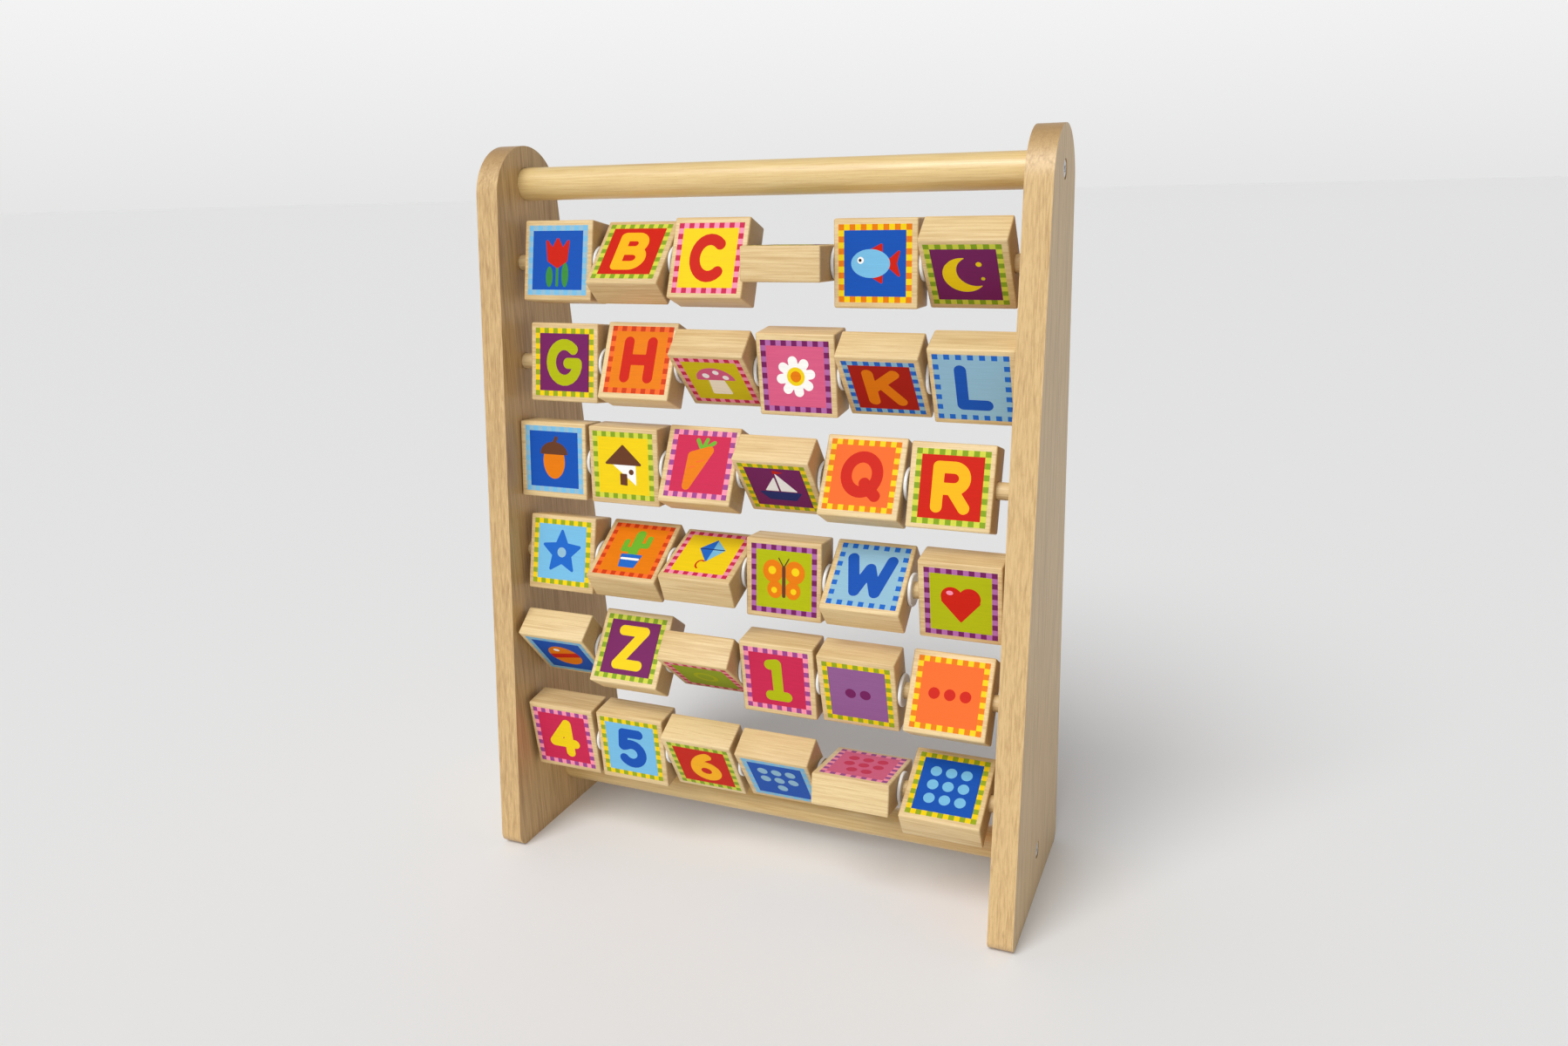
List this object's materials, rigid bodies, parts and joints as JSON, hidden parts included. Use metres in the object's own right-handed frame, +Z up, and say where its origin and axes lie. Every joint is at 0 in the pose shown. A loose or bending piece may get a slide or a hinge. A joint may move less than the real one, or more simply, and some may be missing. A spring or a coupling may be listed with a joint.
{
  "type": "alphabet abacus",
  "caption": "Free-standing wooden learning toy: square printed blocks spin on round rods between two A-shaped side boards joined by a carrying handle.",
  "frame": {"origin": "on the floor, midway between the side boards and midway from front to back", "axes": "+Z up, +X to the right along the rods as the player sees it, the player at -Y"},
  "size_m": [0.28, 0.1108, 0.365],
  "materials": {
    "board_wood": "clear satin lacquer on natural wood",
    "bar_wood": "clear satin lacquer on a turned dowel",
    "rod_wood": "plain sanded dowel",
    "block_wood": "pale sanded wood, printed on the two square faces",
    "screw_steel": "bright zinc plating",
    "washer_plastic": "milky white plastic",
    "print_ink": "satin screen-printed colours"
  },
  "bodies": {
    "frame": {"side_board_left": "board_wood", "side_board_right": "board_wood", "top_handle": "bar_wood", "bottom_stretcher": "bar_wood", "handle_screw_left": "screw_steel", "handle_screw_right": "screw_steel", "stretcher_screw_left": "screw_steel", "stretcher_screw_right": "screw_steel", "rod_row_1": "rod_wood", "rod_row_2": "rod_wood", "rod_row_3": "rod_wood", "rod_row_4": "rod_wood", "rod_row_5": "rod_wood", "rod_row_6": "rod_wood"},
    "block_A": {"block_A": "block_wood"},
    "block_B": {"block_B": "block_wood"},
    "block_C": {"block_C": "block_wood"},
    "block_D": {"block_D": "block_wood"},
    "block_E": {"block_E": "block_wood"},
    "block_F": {"block_F": "block_wood"},
    "block_G": {"block_G": "block_wood"},
    "block_H": {"block_H": "block_wood"},
    "block_I": {"block_I": "block_wood"},
    "block_J": {"block_J": "block_wood"},
    "block_K": {"block_K": "block_wood"},
    "block_L": {"block_L": "block_wood"},
    "block_M": {"block_M": "block_wood"},
    "block_N": {"block_N": "block_wood"},
    "block_O": {"block_O": "block_wood"},
    "block_P": {"block_P": "block_wood"},
    "block_Q": {"block_Q": "block_wood"},
    "block_R": {"block_R": "block_wood"},
    "block_S": {"block_S": "block_wood"},
    "block_T": {"block_T": "block_wood"},
    "block_U": {"block_U": "block_wood"},
    "block_V": {"block_V": "block_wood"},
    "block_W": {"block_W": "block_wood"},
    "block_X": {"block_X": "block_wood"},
    "block_Y": {"block_Y": "block_wood"},
    "block_Z": {"block_Z": "block_wood"},
    "block_0": {"block_0": "block_wood"},
    "block_1": {"block_1": "block_wood"},
    "block_2": {"block_2": "block_wood"},
    "block_3": {"block_3": "block_wood"},
    "block_4": {"block_4": "block_wood"},
    "block_5": {"block_5": "block_wood"},
    "block_6": {"block_6": "block_wood"},
    "block_7": {"block_7": "block_wood"},
    "block_8": {"block_8": "block_wood"},
    "block_9": {"block_9": "block_wood"}
  },
  "joints": [
    {"name": "spin_A", "type": "hinge", "parent": "frame", "child": "block_A", "pos_m": [-0.10202, -0.00893, 0.3085], "axis": [1, 0, 0], "continuous": true},
    {"name": "spin_B", "type": "hinge", "parent": "frame", "child": "block_B", "pos_m": [-0.061, -0.00893, 0.3085], "axis": [1, 0, 0], "continuous": true},
    {"name": "spin_C", "type": "hinge", "parent": "frame", "child": "block_C", "pos_m": [-0.01999, -0.00893, 0.3085], "axis": [1, 0, 0], "continuous": true},
    {"name": "spin_D", "type": "hinge", "parent": "frame", "child": "block_D", "pos_m": [0.02098, -0.00893, 0.3085], "axis": [1, 0, 0], "continuous": true},
    {"name": "spin_E", "type": "hinge", "parent": "frame", "child": "block_E", "pos_m": [0.062, -0.00893, 0.3085], "axis": [1, 0, 0], "continuous": true},
    {"name": "spin_F", "type": "hinge", "parent": "frame", "child": "block_F", "pos_m": [0.10301, -0.00893, 0.3085], "axis": [1, 0, 0], "continuous": true},
    {"name": "spin_G", "type": "hinge", "parent": "frame", "child": "block_G", "pos_m": [-0.1, -0.01324, 0.2593], "axis": [1, 0, 0], "continuous": true},
    {"name": "spin_H", "type": "hinge", "parent": "frame", "child": "block_H", "pos_m": [-0.05822, -0.01324, 0.2593], "axis": [1, 0, 0], "continuous": true},
    {"name": "spin_I", "type": "hinge", "parent": "frame", "child": "block_I", "pos_m": [-0.01639, -0.01324, 0.2593], "axis": [1, 0, 0], "continuous": true},
    {"name": "spin_J", "type": "hinge", "parent": "frame", "child": "block_J", "pos_m": [0.02521, -0.01324, 0.2593], "axis": [1, 0, 0], "continuous": true},
    {"name": "spin_K", "type": "hinge", "parent": "frame", "child": "block_K", "pos_m": [0.06659, -0.01324, 0.2593], "axis": [1, 0, 0], "continuous": true},
    {"name": "spin_L", "type": "hinge", "parent": "frame", "child": "block_L", "pos_m": [0.10801, -0.01324, 0.2593], "axis": [1, 0, 0], "continuous": true},
    {"name": "spin_M", "type": "hinge", "parent": "frame", "child": "block_M", "pos_m": [-0.10801, -0.01754, 0.2101], "axis": [1, 0, 0], "continuous": true},
    {"name": "spin_N", "type": "hinge", "parent": "frame", "child": "block_N", "pos_m": [-0.06681, -0.01754, 0.2101], "axis": [1, 0, 0], "continuous": true},
    {"name": "spin_O", "type": "hinge", "parent": "frame", "child": "block_O", "pos_m": [-0.02521, -0.01754, 0.2101], "axis": [1, 0, 0], "continuous": true},
    {"name": "spin_P", "type": "hinge", "parent": "frame", "child": "block_P", "pos_m": [0.01639, -0.01754, 0.2101], "axis": [1, 0, 0], "continuous": true},
    {"name": "spin_Q", "type": "hinge", "parent": "frame", "child": "block_Q", "pos_m": [0.05799, -0.01754, 0.2101], "axis": [1, 0, 0], "continuous": true},
    {"name": "spin_R", "type": "hinge", "parent": "frame", "child": "block_R", "pos_m": [0.09959, -0.01754, 0.2101], "axis": [1, 0, 0], "continuous": true},
    {"name": "spin_S", "type": "hinge", "parent": "frame", "child": "block_S", "pos_m": [-0.1045, -0.02185, 0.1609], "axis": [1, 0, 0], "continuous": true},
    {"name": "spin_T", "type": "hinge", "parent": "frame", "child": "block_T", "pos_m": [-0.06339, -0.02185, 0.1609], "axis": [1, 0, 0], "continuous": true},
    {"name": "spin_U", "type": "hinge", "parent": "frame", "child": "block_U", "pos_m": [-0.02228, -0.02185, 0.1609], "axis": [1, 0, 0], "continuous": true},
    {"name": "spin_V", "type": "hinge", "parent": "frame", "child": "block_V", "pos_m": [0.01981, -0.02185, 0.1609], "axis": [1, 0, 0], "continuous": true},
    {"name": "spin_W", "type": "hinge", "parent": "frame", "child": "block_W", "pos_m": [0.06141, -0.02185, 0.1609], "axis": [1, 0, 0], "continuous": true},
    {"name": "spin_X", "type": "hinge", "parent": "frame", "child": "block_X", "pos_m": [0.10598, -0.02185, 0.1609], "axis": [1, 0, 0], "continuous": true},
    {"name": "spin_Y", "type": "hinge", "parent": "frame", "child": "block_Y", "pos_m": [-0.10598, -0.02615, 0.1117], "axis": [1, 0, 0], "continuous": true},
    {"name": "spin_Z", "type": "hinge", "parent": "frame", "child": "block_Z", "pos_m": [-0.06492, -0.02615, 0.1117], "axis": [1, 0, 0], "continuous": true},
    {"name": "spin_0", "type": "hinge", "parent": "frame", "child": "block_0", "pos_m": [-0.02381, -0.02615, 0.1117], "axis": [1, 0, 0], "continuous": true},
    {"name": "spin_1", "type": "hinge", "parent": "frame", "child": "block_1", "pos_m": [0.01729, -0.02615, 0.1117], "axis": [1, 0, 0], "continuous": true},
    {"name": "spin_2", "type": "hinge", "parent": "frame", "child": "block_2", "pos_m": [0.0584, -0.02615, 0.1117], "axis": [1, 0, 0], "continuous": true},
    {"name": "spin_3", "type": "hinge", "parent": "frame", "child": "block_3", "pos_m": [0.10251, -0.02615, 0.1117], "axis": [1, 0, 0], "continuous": true},
    {"name": "spin_4", "type": "hinge", "parent": "frame", "child": "block_4", "pos_m": [-0.10598, -0.03046, 0.0625], "axis": [1, 0, 0], "continuous": true},
    {"name": "spin_5", "type": "hinge", "parent": "frame", "child": "block_5", "pos_m": [-0.06492, -0.03046, 0.0625], "axis": [1, 0, 0], "continuous": true},
    {"name": "spin_6", "type": "hinge", "parent": "frame", "child": "block_6", "pos_m": [-0.02381, -0.03046, 0.0625], "axis": [1, 0, 0], "continuous": true},
    {"name": "spin_7", "type": "hinge", "parent": "frame", "child": "block_7", "pos_m": [0.01778, -0.03046, 0.0625], "axis": [1, 0, 0], "continuous": true},
    {"name": "spin_8", "type": "hinge", "parent": "frame", "child": "block_8", "pos_m": [0.05939, -0.03046, 0.0625], "axis": [1, 0, 0], "continuous": true},
    {"name": "spin_9", "type": "hinge", "parent": "frame", "child": "block_9", "pos_m": [0.10301, -0.03046, 0.0625], "axis": [1, 0, 0], "continuous": true}
  ]
}
